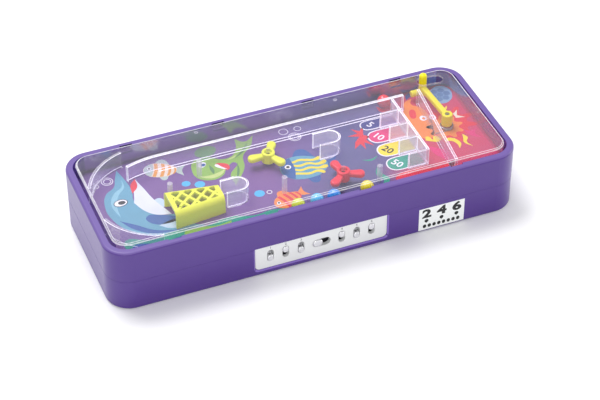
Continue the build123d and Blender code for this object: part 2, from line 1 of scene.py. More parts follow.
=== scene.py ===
# %% [markdown]
# A violet pencil case with a ball game under a clear cover in its lid, and a six-slider code lock
# on its front. This file gives each of them its finish. It adds what is printed, which is the
# card's picture, the code label and the lock's numbers, and four small details: a strip at the
# divider's foot and a welt on the cover, which carry a painted highlight, and two moulded ejector
# marks and a moulded lip at the seam. Lengths in the cells are millimetres, and MM turns them into
# Blender's metres.

# %% Load the frame
import math

import bmesh
import bpy
from mathutils import Matrix, Vector


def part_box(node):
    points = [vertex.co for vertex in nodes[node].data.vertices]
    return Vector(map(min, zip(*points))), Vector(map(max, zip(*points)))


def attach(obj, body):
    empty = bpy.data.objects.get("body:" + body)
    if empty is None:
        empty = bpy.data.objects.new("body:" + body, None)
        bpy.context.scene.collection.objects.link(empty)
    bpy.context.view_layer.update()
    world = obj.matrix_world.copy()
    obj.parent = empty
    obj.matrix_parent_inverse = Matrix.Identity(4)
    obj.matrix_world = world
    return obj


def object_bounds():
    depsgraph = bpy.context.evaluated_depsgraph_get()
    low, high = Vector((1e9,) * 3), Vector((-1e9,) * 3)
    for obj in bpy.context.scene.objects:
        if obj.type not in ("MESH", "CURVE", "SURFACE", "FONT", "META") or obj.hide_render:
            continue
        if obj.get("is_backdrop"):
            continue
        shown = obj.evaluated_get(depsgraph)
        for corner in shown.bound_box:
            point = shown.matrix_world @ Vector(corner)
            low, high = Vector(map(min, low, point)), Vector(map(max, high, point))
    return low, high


MM = 0.001
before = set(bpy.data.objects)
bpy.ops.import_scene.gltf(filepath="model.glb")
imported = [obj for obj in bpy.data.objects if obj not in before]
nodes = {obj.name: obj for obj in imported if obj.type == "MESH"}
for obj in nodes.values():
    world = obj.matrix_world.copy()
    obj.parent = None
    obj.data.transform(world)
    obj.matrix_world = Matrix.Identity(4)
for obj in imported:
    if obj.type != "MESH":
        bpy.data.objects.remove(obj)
cad_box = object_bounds()
scene = bpy.context.scene
print("loaded", len(nodes), "CAD nodes")


def level(node, top=True):
    """The height of a CAD node's top or underside, in millimetres."""
    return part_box(node)[1 if top else 0].z / MM


def give(node, *materials):
    """Gives a CAD node its finish, or the finishes that its faces choose from, and returns its mesh."""
    mesh = nodes[node].data
    mesh.materials.clear()
    for material in materials:
        mesh.materials.append(material)
    return mesh


card_top = level("printed_card")
wall_top = level("lane_divider")
cover_top = level("clear_cover")
print("card top", round(card_top, 2), "wall top", round(wall_top, 2))

# %% [markdown]
# Colours are easiest to choose as a screen shows them, from 0 to 255, but a shader adds and
# multiplies light. One helper turns a screen colour into the shader's linear colour.

# %% Colours


def colour(red, green, blue):
    """A screen colour as linear RGBA."""
    def linear(value):
        share = value / 255
        return share / 12.92 if share <= 0.04045 else ((share + 0.055) / 1.055) ** 2.4
    return (linear(red), linear(green), linear(blue), 1.0)


def shade(rgba, factor):
    """The same colour, brighter or darker."""
    return tuple(min(1.0, channel * factor) for channel in rgba[:3]) + (1.0,)


# %% [markdown]
# A shader is a small calculation. Wire lets a socket be written like a number, so a pattern reads
# as an expression: 1 - mask * 0.5. Recipe holds one material and makes every other node with one
# method: the node's type, its settings, and the values or links of its sockets.

# %% Shader maths


class Wire:
    """A node's output that can be used in an expression."""

    def __init__(self, recipe, socket):
        self.recipe = recipe
        self.socket = socket

    def maths(self, operation, first, second):
        return self.recipe.node("ShaderNodeMath", {"operation": operation}, {0: first, 1: second})

    def __add__(self, other):
        return self.maths("ADD", self, other)

    def __radd__(self, other):
        return self.maths("ADD", other, self)

    def __sub__(self, other):
        return self.maths("SUBTRACT", self, other)

    def __rsub__(self, other):
        return self.maths("SUBTRACT", other, self)

    def __mul__(self, other):
        return self.maths("MULTIPLY", self, other)

    def __rmul__(self, other):
        return self.maths("MULTIPLY", other, self)


class Recipe:
    """One material and the nodes that make it."""

    def __init__(self, name):
        self.material = bpy.data.materials.new(name)
        self.material.use_nodes = True
        self.tree = self.material.node_tree
        self.tree.nodes.clear()

    def node(self, kind, settings=None, sockets=None, output=0):
        """Adds a node, sets it up, fills its sockets and returns one of its outputs."""
        made = self.tree.nodes.new(kind)
        for name, value in (settings or {}).items():
            if name == "stops":
                ramp = made.color_ramp
                while len(ramp.elements) < len(value):
                    ramp.elements.new(1.0)
                for element, (position, rgba) in zip(ramp.elements, value):
                    element.position = position
                    element.color = rgba
            else:
                setattr(made, name, value)
        for name, value in (sockets or {}).items():
            if isinstance(value, Wire):
                self.tree.links.new(value.socket, made.inputs[name])
            else:
                made.inputs[name].default_value = value
        return Wire(self, made.outputs[output])

    def place(self):
        """Where a point is on its piece, in metres."""
        return self.node("ShaderNodeTexCoord", output="Object")

    def noise(self, size, detail=2.0, stretch=(1, 1, 1)):
        """Soft noise whose lumps are about size millimetres."""
        spread = tuple(share / (size * MM) for share in stretch)
        where = self.node("ShaderNodeMapping", sockets={"Vector": self.place(), "Scale": spread})
        return self.node("ShaderNodeTexNoise", sockets={"Vector": where, "Scale": 1.0, "Detail": detail})

    def ramp(self, factor, stops):
        """A colour that runs through the stops."""
        return self.node("ShaderNodeValToRGB", {"stops": stops}, {"Fac": factor})

    def mix(self, factor, first, second):
        """One colour blended into another."""
        return self.node("ShaderNodeMix", {"data_type": "RGBA"}, {0: factor, 6: first, 7: second}, output=2)

    def see_through(self, rgba, share, skin):
        """Share of skin over clear colour; the lamps' shadows pass as if only the clear were there."""
        through = self.node("ShaderNodeBsdfTransparent", sockets={"Color": rgba})
        seen = self.node("ShaderNodeMixShader", sockets={0: share, 1: through, 2: skin})
        is_shadow = self.node("ShaderNodeLightPath", output="Is Shadow Ray")
        return self.node("ShaderNodeMixShader", sockets={0: is_shadow, 1: seen, 2: through})

    def bump(self, height, depth):
        """A normal that rises and falls by depth millimetres."""
        sockets = {"Height": height, "Strength": 1.0, "Distance": depth * MM}
        return self.node("ShaderNodeBump", sockets=sockets)

    def principled(self, **sockets):
        """The shader of plastic, metal, paper and ink."""
        named = {name.replace("_", " "): value for name, value in sockets.items()}
        return self.node("ShaderNodeBsdfPrincipled", sockets=named)

    def finish(self, shader):
        """Sends the shader to the output and returns the material."""
        surface = self.tree.nodes.new("ShaderNodeOutputMaterial").inputs["Surface"]
        self.tree.links.new(shader.socket, surface)
        return self.material


# %% [markdown]
# Most of the object is glossy injection-moulded plastic. A mould leaves a faint cloudiness in the
# colour, a very fine grain that softens the gloss, and handling adds thin rubbed streaks. Three
# noises of different sizes give those, so one recipe serves every coloured plastic piece. The rim's
# rounded top catches more light than the walls, and that light is painted in: the rim gets a paler,
# smoother copy of the violet, a painted light on the same plastic.

# %% Moulded plastic


def moulded(name, rgba, gloss=0.28, grain=0.004, cloud=0.05, coat=0.0):
    """Glossy coloured plastic with cloudy colour, fine grain and faint rubbed streaks."""
    made = Recipe(name)
    clouds = made.noise(14, 3.0)
    streaks = made.noise(2.2, 2.0, stretch=(0.15, 1, 1))
    fine = made.noise(0.35, 2.0)
    body = made.mix(clouds, shade(rgba, 1 - cloud), shade(rgba, 1 + cloud))
    rough = gloss - 0.05 + streaks * 0.08 + fine * 0.03
    shader = made.principled(
        Base_Color=body, Roughness=rough, Normal=made.bump(fine, grain), Coat_Weight=coat,
        Coat_Roughness=0.08, Specular_IOR_Level=0.5,
    )
    return made.finish(shader)


violet = colour(76, 44, 134)
case_violet = moulded("case_violet", violet, gloss=0.3, grain=0.006, coat=0.1)
# The rim's paler violet is painted light: the same plastic as the case, made paler where its top catches more
# light.
rim_painted_light = moulded("rim_painted_light", colour(104, 82, 154), gloss=0.4, grain=0.0)
lime_plastic = moulded("lime_plastic", colour(238, 244, 60), gloss=0.34)
red_plastic = moulded("red_plastic", colour(240, 44, 68), gloss=0.32)
lever_yellow = moulded("lever_yellow", colour(236, 226, 10), gloss=0.3)
# The well's walls get a paler violet: painted light on the case's plastic, which sets how bright they look
# under the cover.
well_painted_light = moulded("well_painted_light", colour(92, 70, 150), gloss=0.4)
# The window's bevel gets a brighter violet, a painted highlight on the case's plastic.
bevel_highlight_violet = moulded("bevel_highlight_violet", colour(132, 104, 192), gloss=0.3)
clip_shadow = moulded("clip_shadow", colour(40, 26, 84), gloss=0.5)
inner_grey = moulded("inner_grey", colour(58, 56, 66), gloss=0.5)
print("violet is", [round(channel, 3) for channel in violet[:3]], "as linear light")

# %% [markdown]
# The balls are small and shiny, and each half comes from its own mould, so a thin parting line
# runs round the middle. The line is a narrow band in height: far from the ball's centre height
# the mask is 0, near it the mask is 1, and a bump raises it a hundredth of a millimetre.

# %% Balls


def ball_plastic(name, rgba, centre_z):
    """Shiny plastic with a parting line at the ball's middle."""
    made = Recipe(name)
    height = made.node("ShaderNodeSeparateXYZ", sockets={0: made.place()}, output=2)
    off_middle = made.node("ShaderNodeMath", {"operation": "ABSOLUTE"}, {0: height - centre_z * MM})
    line = made.node("ShaderNodeMapRange", sockets={
        "Value": off_middle, "From Max": 0.09 * MM, "To Min": 1.0, "To Max": 0.0,
    })
    swirl = made.noise(2.6, 3.0)
    body = made.mix(swirl, shade(rgba, 0.93), shade(rgba, 1.06))
    shader = made.principled(
        Base_Color=body, Roughness=0.14 + swirl * 0.1, Normal=made.bump(line + swirl * 0.1, 0.02),
        Coat_Weight=0.3, Coat_Roughness=0.05,
    )
    return made.finish(shader)


ball_colours = {
    "red": colour(240, 40, 58),
    "lime": colour(226, 240, 50),
    "sky": colour(96, 204, 250),
    "blue": colour(20, 150, 236),
    "yellow": colour(255, 236, 30),
}
for name, rgba in ball_colours.items():
    node = f"ball_{name}"
    middle = (level(node) + level(node, top=False)) / 2
    give(node, ball_plastic(node, rgba, middle))
print("painted", len(ball_colours), "balls")

# %% [markdown]
# The cover and the walls on the card are clear styrene, about a millimetre thick. A sheet that
# thin hardly bends what is seen through it: it adds a mirror-like gloss that grows towards
# grazing angles, and a faint milky veil. So the finish mixes a Transparent shader with a glossy
# white one. The share of gloss is a twenty-fifth face on and rises with the fifth power of the
# slant, as it does on glass. Transparent lets the lamps through too, which full glass would
# block. Fine handling marks vary the veil and the gloss.
#
# The cover's outer walls are seen through the cover's top. Light that meets them from inside
# turns back, so they mirror the card like a blurred looking glass, and half of them is mirror.

# %% Clear plastic
def clear_plastic(name, rgba, veil, body=0.5):
    """Thin clear plastic: see-through, glossy at grazing angles, faintly milky."""
    made = Recipe(name)
    rubbed = made.noise(3.0, 3.0, stretch=(0.3, 1, 1))
    skin = made.principled(
        Base_Color=shade(colour(240, 240, 250), body), Roughness=0.03 + rubbed * 0.06, IOR=1.49,
        Coat_Weight=1.0, Coat_Roughness=0.02,
    )
    facing = made.node("ShaderNodeLayerWeight", sockets={"Blend": 0.5}, output="Facing")
    grazing = facing * facing * facing * facing * facing
    share = 0.04 + grazing * 0.9 + veil * 0.6 + rubbed * (veil * 0.8)
    return made.finish(made.see_through(rgba, share, skin))


def light_guide(name, rgba, share):
    """A clear wall whose inner face mirrors what is beside it, blurred and see-through."""
    made = Recipe(name)
    rubbed = made.noise(3.0, 3.0, stretch=(0.3, 1, 1))
    mirror = made.principled(Base_Color=rgba, Metallic=1.0, Roughness=0.12 + rubbed * 0.16)
    return made.finish(made.see_through(colour(236, 232, 250), share - 0.1 + rubbed * 0.2, mirror))


clear_cover = clear_plastic("clear_cover", colour(253, 252, 255), veil=0.02, body=0.72)
cover_side = light_guide("cover_side", colour(240, 234, 252), 0.5)
clear_wall = clear_plastic("clear_wall", colour(250, 248, 255), veil=0.05, body=1.0)
clear_small = clear_plastic("clear_small", colour(248, 246, 255), veil=0.28, body=1.1)
print("clear finishes:", clear_cover.name, cover_side.name, clear_wall.name, clear_small.name)

# %% [markdown]
# A clear wall carries light inside it, and its rounded edges give that light back as thin bright
# lines. They are what shows the walls' shapes, and here they are painted in. A Weld modifier joins
# the CAD mesh's faces, a Bevel modifier rounds every sharp edge by a few tenths of a millimetre,
# and gives those narrow faces the second material: a painted highlight, white, slightly
# see-through, uneven, with a faint emission that paints the carried light in as a glow. The top
# faces get a fainter painted highlight.

# %% Lit edges


def lit_edge(name, cover, glow):
    """A painted highlight for a clear wall's edge, white and slightly frosted; glow is an emission that
    paints in the light carried to it.
    """
    made = Recipe(name)
    uneven = made.noise(1.6, 2.0)
    body = made.mix(uneven, colour(236, 234, 246), colour(255, 255, 255))
    seen = cover - 0.2 + uneven * 0.4
    return made.finish(made.principled(
        Base_Color=body, Roughness=0.3 + uneven * 0.2, Alpha=seen, Normal=made.bump(uneven, 0.02),
        Emission_Color=body, Emission_Strength=glow,
    ))


# Painted highlights: white, partly see-through, with an emission glow standing in for the light the clear
# walls carry.
bright_edge_highlight = lit_edge("bright_edge_highlight", 0.95, 0.5)
top_face_highlight = lit_edge("top_face_highlight", 0.28, 0.2)
divider_top_highlight = lit_edge("divider_top_highlight", 0.6, 0.3)
# The cover's rounding and the walls of its lever slot get painted highlights.
cover_edge_highlight = lit_edge("cover_edge_highlight", 0.42, 0.24)
slot_wall_highlight = lit_edge("slot_wall_highlight", 0.25, 0.2)


divider_end = -83


def is_lit(centre, normal):
    """Whether a face is a wall's top, or the divider's far end; these get the top faces' painted highlight.
    """
    is_top = normal.z > 0.9 and centre.z > wall_top - 0.5
    return is_top or (normal.x < -0.8 and centre.x < divider_end)


def light_edges(node, top, wall=clear_wall, round_mm=0.2):
    """Rounds a clear CAD node's edges, gives them the painted edge highlight, and gives its top faces a
    painted highlight of their own.
    """
    mesh = give(node, wall, bright_edge_highlight, top)
    lit = [face for face in mesh.polygons if is_lit(face.center / MM, face.normal)]
    for face in lit:
        face.material_index = 2
    weld = nodes[node].modifiers.new("weld", "WELD")
    weld.merge_threshold = 0.005 * MM
    rounding = nodes[node].modifiers.new("rounding", "BEVEL")
    rounding.width = round_mm * MM
    rounding.segments = 1
    rounding.limit_method = "ANGLE"
    rounding.angle_limit = math.radians(50)
    rounding.material = 1
    print(node, "top faces:", len(lit))


light_edges("lane_divider", divider_top_highlight, round_mm=0.3)
for node in ("corner_guide_rear", "corner_guide_front", "lever_wall"):
    light_edges(node, top_face_highlight)
for node in ("scoring_pockets", "catch_cup_left", "catch_cup_right", "deflector_pins"):
    light_edges(node, top_face_highlight, wall=clear_small, round_mm=0.4)

# %% [markdown]
# The cover is one CAD piece, so its finishes go by face: the rounding between its top and its
# sides gets a painted highlight, its outer walls mirror the card, and the walls of the lever's slot
# get a faint painted highlight. The front's rounding is seen more from above, so a narrower part of
# it gets the painted highlight.

# %% Cover faces
lit_from, lit_to_rear, lit_to_front = 0.45, 0.97, 0.8
rounding_depth, slot_from_side = 1.5, 3
cover_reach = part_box("clear_cover")[1] / MM - Vector((2.2, 2.2, 0))
cover_mesh = give("clear_cover", clear_cover, cover_edge_highlight, cover_side, slot_wall_highlight)
counts = [0, 0, 0, 0]
for face in cover_mesh.polygons:
    away, normal = face.center / MM, face.normal
    lit_to = lit_to_rear if away.y > 0 else lit_to_front
    upright = abs(normal.z) < 0.3
    outward = normal.to_2d().dot(away.to_2d()) > 0 and normal.y > -0.6
    past_side = max(abs(away.x) - cover_reach.x, abs(away.y) - cover_reach.y)
    if lit_from < normal.z < lit_to and away.z > cover_top - rounding_depth:
        face.material_index = 1
    elif upright and outward and past_side > 0:
        face.material_index = 2
    elif upright and past_side < -slot_from_side:
        face.material_index = 3
    counts[face.material_index] += 1
print("cover faces plain, lit, mirroring, round the slot:", counts)

# %% [markdown]
# The lock plate and its thumb knobs are moulded in a pale silver plastic: white pigment with fine
# pearl flakes. Fine bright specks stand for the flakes. The pins, springs and screws are steel,
# drawn or turned, so their fine lines run one way.

# %% Silver plastic and steel


def pearl(name, rgba, gloss, metal):
    """Pale silver plastic with fine flakes."""
    made = Recipe(name)
    flakes = made.noise(0.18, 1.0)
    waves = made.noise(9, 2.0, stretch=(0.4, 1, 1))
    body = made.mix(flakes, shade(rgba, 0.9), shade(rgba, 1.08))
    return made.finish(made.principled(
        Base_Color=body, Metallic=metal, Roughness=gloss + waves * 0.1, Normal=made.bump(flakes, 0.004)
    ))


def steel(name, rgba, stretch):
    """Steel with fine lines across the stretched direction."""
    made = Recipe(name)
    lines = made.noise(0.3, 2.0, stretch=stretch)
    body = made.mix(lines, shade(rgba, 0.8), rgba)
    return made.finish(made.principled(
        Base_Color=body, Metallic=1.0, Roughness=0.22 + lines * 0.2, Normal=made.bump(lines, 0.006)
    ))


plate_silver = pearl("plate_silver", colour(230, 231, 232), 0.28, 0.0)
knob_silver = pearl("knob_silver", colour(232, 232, 235), 0.1, 0.75)
drawn_steel = steel("drawn_steel", colour(200, 200, 205), (0.1, 1, 1))
turned_steel = steel("turned_steel", colour(190, 190, 196), (1, 0.1, 1))

# %% [markdown]
# Paper and print. The card is coated paper printed in full colour: violet water on the left,
# grey-blue in the middle and a red glow on the right, where the lever is. The colour follows one
# slanted distance along the card, bent by slow noise so that it looks painted and not ruled.
# A fine grain stands for the ink dots. The pictures on it use the same grain in flat colours.

# %% Print


def ink(name, rgba, gloss=0.35):
    """A flat printed colour with ink grain."""
    made = Recipe(name)
    grain = made.noise(0.25, 1.0)
    wash = made.noise(6, 3.0)
    body = made.mix(grain * 0.4 + wash * 0.6, shade(rgba, 0.84), shade(rgba, 1.14))
    return made.finish(made.principled(Base_Color=body, Roughness=gloss + grain * 0.08))


def card_print(name):
    """The card's background: violet to grey-blue to red along the card."""
    made = Recipe(name)
    x = made.node("ShaderNodeSeparateXYZ", sockets={0: made.place()}, output=0)
    y = made.node("ShaderNodeSeparateXYZ", sockets={0: made.place()}, output=1)
    wander = made.noise(26, 4.0) - 0.5
    along = (x - y * 0.35) * (1 / 0.23) + 0.5 + wander * 0.16
    water = made.ramp(along, (
        (0.00, colour(104, 66, 136)),
        (0.45, colour(114, 72, 142)),
        (0.62, colour(78, 84, 134)),
        (0.74, colour(80, 74, 128)),
        (0.80, colour(204, 36, 66)),
        (1.00, colour(212, 44, 88)),
    ))
    grain = made.noise(0.25, 1.0)
    wash = made.noise(9, 4.0)
    body = made.mix(0.14 * wash + 0.05 * grain, water, colour(170, 140, 190))
    return made.finish(made.principled(Base_Color=body, Roughness=0.35 + grain * 0.1))


print_background = card_print("print_background")


def label_paper(name):
    """White glossy paper with faint fibres."""
    made = Recipe(name)
    fibres = made.noise(0.5, 3.0, stretch=(0.3, 1, 1))
    body = made.mix(fibres, colour(232, 236, 236), colour(252, 252, 252))
    return made.finish(made.principled(
        Base_Color=body, Roughness=0.3 + fibres * 0.15, Normal=made.bump(fibres, 0.006)
    ))


white_label = label_paper("white_label")
black_ink = ink("black_ink", colour(16, 16, 20))
grey_ink = ink("grey_ink", colour(132, 132, 142))

# %% [markdown]
# Each remaining CAD node takes its finish by name. A table is easier to check against the parts
# list than a chain of calls.

# %% Finishes of the CAD nodes
finishes = {
    clear_wall: ["spinner_post_green", "spinner_post_red", "lever_post"],
    lime_plastic: ["net_bridge", "spinner_green"],
    red_plastic: ["spinner_red"],
    lever_yellow: ["shooter_lever"],
    plate_silver: ["lock_plate"],
    knob_silver: ["latch_knob"] + [f"code_slider_{number}" for number in range(1, 7)],
    inner_grey: ["lock_housing", "latch_bar", "lid_strikers"],
    drawn_steel: ["hinge_pin_left", "hinge_pin_right", "lever_spring", "detent_springs"],
    turned_steel: ["lock_screws", "striker_screws"],
    print_background: ["printed_card"],
    white_label: ["code_label"],
}
for material, names in finishes.items():
    for name in names:
        give(name, material)
print("finished by name:", sum(len(names) for names in finishes.values()), "nodes")

# %% [markdown]
# The two shells are violet, and some of their faces get painted light and shade: a painted
# highlight makes the bevel round the lock's window bright, painted light makes the well's walls
# paler, painted shade makes the clip slots in them dark, and painted light makes the rim's top pale.
# Each is found by where a face lies and which way it looks.

# %% Faces of the shells
window_half, window_foot, front_y = 39, 1.5, -43
base_mesh = give("base_shell", case_violet, bevel_highlight_violet)
# Faces of the window's bevel that look up or sideways get the painted highlight.
for face in base_mesh.polygons:
    away, normal = face.center / MM, face.normal
    at_window = abs(away.x) < window_half and away.y < front_y and away.z > window_foot
    if at_window and normal.y > -0.9 and (normal.z > 0.3 or abs(normal.x) > 0.6):
        face.material_index = 1

rim_from_card, end_wall_x = 3, 90
well_half_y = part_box("printed_card")[1].y / MM + 0.6
lid_mesh = give("lid_shell", case_violet, well_painted_light, clip_shadow, rim_painted_light)
# The well's walls get painted light, the clip slots in them painted shade (clip_shadow), and the rim's top
# painted light.
for face in lid_mesh.polygons:
    away, normal = face.center / MM, face.normal
    inward = normal.to_2d().dot(away.to_2d()) < 0
    if away.z > card_top and abs(normal.z) < 0.3 and inward:
        in_slot = abs(away.y) > well_half_y or (abs(normal.x) > 0.9 and abs(away.x) < end_wall_x)
        face.material_index = 2 if in_slot else 1
    elif away.z > card_top + rim_from_card and normal.z > 0.5:
        face.material_index = 3
unpainted = [name for name, node in nodes.items() if len(node.data.materials) == 0]
print("nodes without a finish:", unpainted)

# %% [markdown]
# A printed shape is a flat patch of ink. A filled 2D curve makes it: the curve's own fill deals
# with hollows and holes, automatic handles round the outline, and a tiny extrusion makes it a
# closed solid. A point written with a third value is a sharp corner. Text is the same kind of
# curve. Each picture joins its patches into one mesh that keeps a material per ink.

# %% Ink shapes
ink_step = 0.03


def mesh_of(curve):
    """The mesh of a filled curve; the curve itself is removed."""
    maker = bpy.data.objects.new("maker", curve)
    scene.collection.objects.link(maker)
    bpy.context.view_layer.update()
    mesh = bpy.data.meshes.new_from_object(maker.evaluated_get(bpy.context.evaluated_depsgraph_get()))
    bpy.data.objects.remove(maker)
    return mesh


def patch(*outlines):
    """A flat patch from closed outlines in millimetres; an outline inside another is a hole."""
    curve = bpy.data.curves.new("patch", "CURVE")
    curve.dimensions = "2D"
    curve.fill_mode = "BOTH"
    curve.extrude = ink_step / 2 * MM
    curve.resolution_u = 5
    for outline in outlines:
        spline = curve.splines.new("BEZIER")
        spline.use_cyclic_u = True
        spline.bezier_points.add(len(outline) - 1)
        for point, (x, y, *corner) in zip(spline.bezier_points, outline):
            handle = "VECTOR" if corner else "AUTO"
            point.handle_left_type = handle
            point.handle_right_type = handle
            point.co = (x * MM, y * MM, 0)
    return mesh_of(curve)


def lettering(text, height, weight=0.0):
    """Flat numbers as tall as height, centred on their own middle."""
    curve = bpy.data.curves.new("numbers", "FONT")
    curve.body = text
    curve.align_x = "CENTER"
    curve.align_y = "CENTER"
    curve.size = height * 1.4 * MM
    curve.extrude = ink_step / 2 * MM
    curve.offset = weight * MM
    curve.resolution_u = 3
    return mesh_of(curve)


def oval(x, y, half_length, half_width=None, turn=0):
    """An oval outline of eight points."""
    half_width = half_length if half_width is None else half_width
    points = []
    for step in range(8):
        angle = math.radians(step * 45)
        along, across = half_length * math.cos(angle), half_width * math.sin(angle)
        slant = math.radians(turn)
        points.append((
            x + along * math.cos(slant) - across * math.sin(slant),
            y + along * math.sin(slant) + across * math.cos(slant),
        ))
    return points


def placed(points, x, y, turn=0, size=1.0):
    """An outline drawn round the origin, turned, sized and moved to a place."""
    cosine, sine = math.cos(math.radians(turn)) * size, math.sin(math.radians(turn)) * size
    return [(x + px * cosine - py * sine, y + px * sine + py * cosine, *corner) for px, py, *corner in points]


def add_piece(name, mesh, body, slot):
    """A new piece from its mesh, attached to the body that carries it; slot is not used."""
    piece = bpy.data.objects.new(name, mesh)
    scene.collection.objects.link(piece)
    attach(piece, body)
    print(name, "faces:", len(mesh.polygons))
    return piece


def picture(name, body, slot, patches, to_surface=None):
    """One piece from patches of an ink, a layer and its outlines or its mesh, laid on the card."""
    materials = []
    sheet = bmesh.new()
    for material, layer, *shape in patches:
        mesh = shape[0] if isinstance(shape[0], bpy.types.Mesh) else patch(*shape)
        if material not in materials:
            materials.append(material)
        mesh.transform(Matrix.Translation((0, 0, (layer + 0.5) * ink_step * MM)))
        first = len(sheet.faces)
        sheet.from_mesh(mesh)
        sheet.faces.ensure_lookup_table()
        for face in sheet.faces[first:]:
            face.material_index = materials.index(material)
            face.smooth = False
        bpy.data.meshes.remove(mesh)
    bmesh.ops.remove_doubles(sheet, verts=sheet.verts, dist=1e-7)
    joined = bpy.data.meshes.new(name)
    sheet.to_mesh(joined)
    sheet.free()
    joined.transform(to_surface or Matrix.Translation((0, 0, card_top * MM)))
    for material in materials:
        joined.materials.append(material)
    return add_piece(name, joined, body, slot)


# %% [markdown]
# The inks of the pictures. They are named for their colours, and the pictures share them.

# %% Inks
sea_blue = ink("sea_blue", colour(94, 160, 184))
deep_blue = ink("deep_blue", colour(40, 92, 160))
pale_blue = ink("pale_blue", colour(190, 214, 232))
mist_blue = ink("mist_blue", colour(136, 192, 208))
fin_grey = ink("fin_grey", colour(182, 202, 192))
belly_white = ink("belly_white", colour(222, 228, 238))
sky_ink = ink("sky_ink", colour(70, 184, 236))
white_ink = ink("white_ink", colour(244, 244, 250))
leaf_green = ink("leaf_green", colour(140, 186, 78))
dark_green = ink("dark_green", colour(84, 138, 80))
pale_green = ink("pale_green", colour(196, 218, 128))
teal_ink = ink("teal_ink", colour(44, 158, 130))
orange_ink = ink("orange_ink", colour(240, 138, 62))
cream_ink = ink("cream_ink", colour(244, 228, 206))
yellow_ink = ink("yellow_ink", colour(250, 222, 50))
coral_red = ink("coral_red", colour(226, 44, 62))
rose_ink = ink("rose_ink", colour(222, 44, 116))
indigo_ink = ink("indigo_ink", colour(62, 66, 136))
shell_line = ink("shell_line_ink", colour(138, 170, 204))
shell_blue = ink("shell_blue_ink", colour(92, 128, 172))
amber_ink = ink("amber_ink", colour(236, 160, 60))
print("finishes so far:", len(bpy.data.materials))

# %% [markdown]
# A big friendly sea mammal leaps in the left corner. Its back, belly, mouth, flipper and tail are
# rounded patches, drawn with few points. A pale stroke along its head and a dark one
# along its back give it form, and layers put the eye above the head.

# %% Leaping swimmer
swimmer_body = [
    (-87, 34, 1), (-85.5, 27), (-84.5, 15), (-86, 7), (-83, -3), (-77, -9), (-68, -11.5), (-58, -14, 1),
    (-64, -19), (-57, -26, 1), (-70, -24.5), (-84, -24), (-95, -16), (-101, -4), (-101.5, 8), (-98, 17),
    (-92.5, 21), (-90, 27),
]
swimmer_belly = [
    (-80, 23.5, 1), (-78, 14), (-76, 4), (-72.5, -6), (-71, -10.5, 1), (-78, -8.5), (-83, -3.5),
    (-86.5, 5, 1), (-84.8, 10), (-82.5, 18),
]
swimmer_mouth = [(-85, 12.5, 1), (-83.5, 20), (-80, 23.5, 1), (-80.8, 17)]
swimmer_flipper = [(-84, -8), (-76, -9.5), (-66, -15.5, 1), (-75, -17), (-83, -14)]
swimmer_tail = [(-80, -17, 1), (-72, -15), (-58, -19), (-66, -21.5), (-75, -21)]
swimmer_shine = [
    (-86.8, 26, 1), (-88.5, 20), (-94, 16), (-98, 8), (-96.5, -4, 1), (-95.5, 6), (-92, 14), (-87.5, 19),
]
swimmer_shade = [(-98, -6, 1), (-93, -15), (-84, -22), (-70, -24, 1), (-83, -19.5), (-91, -12)]
swimmer_fin = [(-78, 2, 1), (-73, 4), (-70.5, 0, 1), (-74, -4)]
picture("print_swimmer", "lid", "print", [
    (sea_blue, 0, swimmer_body),
    (belly_white, 1, swimmer_belly),
    (mist_blue, 1, swimmer_shine),
    (deep_blue, 1, swimmer_shade),
    (pale_blue, 1, swimmer_tail),
    (coral_red, 2, swimmer_mouth),
    (deep_blue, 1, swimmer_flipper),
    (pale_blue, 0, swimmer_fin),
    (black_ink, 1, oval(-93, 7.5, 3.9, 2.8, 8)),
    (white_ink, 2, oval(-93, 7.5, 3.5, 2.4, 8), oval(-92.4, 7.5, 2.0, 1.5)),
])

# %% [markdown]
# Three small fish share one drawing. The body is a pointed oval of unit half length. Two of them
# have stripes from back to belly, cut to the body's height at each place, so that they end on its
# outline; the blue one's stripes run lengthwise and wave. The tail and fins have sharp corners.

# %% Fish


def body_half(at):
    """Half the height of the unit fish's body at a distance along it, from -1 to 1."""
    return 0.62 * math.sqrt(max(0.0, 1 - at * at)) * (1 - 0.18 * at)


def crosswise_bands(half):
    """Four stripes from the back to the belly, each bent like an arrowhead."""
    for start, end in ((-0.42, -0.22), (0.0, 0.2), (0.4, 0.56), (0.74, 0.86)):
        yield [
            (start, half(start, 0.97), 1), (end, half(end, 0.97), 1), (end + 0.07, 0.0),
            (end, -half(end, 0.97), 1), (start, -half(start, 0.97), 1), (start + 0.07, 0.0),
        ]


def lengthwise_bands(tall):
    """Four wavy stripes from the nose to the tail."""
    for share in (-0.62, -0.2, 0.22, 0.64):
        reach = 0.93 * math.sqrt(1 - share * share)
        row = [reach * along for along in (-1.0, -0.6, -0.2, 0.2, 0.6, 1.0)]
        wave = [0.56 * tall * (share + 0.09 * math.sin(at * 8 + share * 3)) for at in row]
        high = [(at, height + 0.075) for at, height in zip(row, wave)]
        low = [(at, height - 0.055) for at, height in zip(row, wave)]
        yield high + low[::-1]


